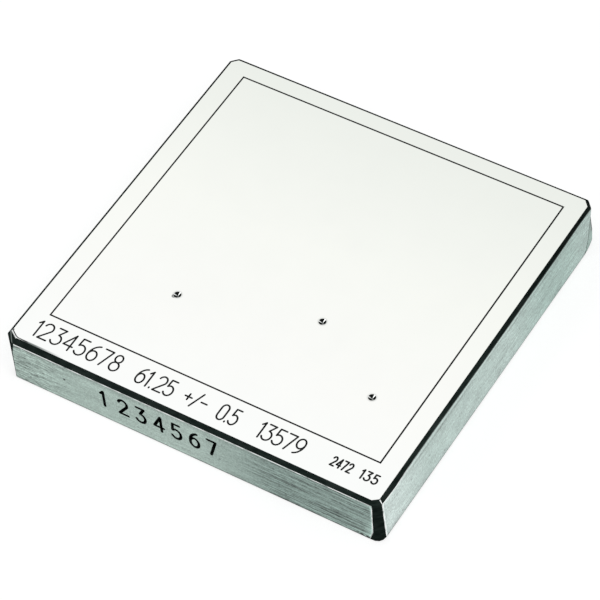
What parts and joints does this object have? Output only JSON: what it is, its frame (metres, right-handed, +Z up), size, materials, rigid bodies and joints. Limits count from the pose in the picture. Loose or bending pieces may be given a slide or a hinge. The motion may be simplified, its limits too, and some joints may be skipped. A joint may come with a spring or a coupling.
{
  "type": "hardness test block",
  "caption": "Flat square steel block with a lapped test face, a scribed border round the test area, bevelled edges and small cone dents, for proving a hardness tester.",
  "frame": {"origin": "centre of the base, on the surface that the block rests on", "axes": "+Z up, out of the test face; -Y towards the reader, the side whose strip beside the border is widest; +X to the reader's right"},
  "size_m": [0.06, 0.06, 0.0086],
  "materials": {
    "steel": "hardened steel: lapped bright test face, ground sides, dark bevels"
  },
  "bodies": {
    "root": {"test_block": "steel"}
  },
  "joints": []
}
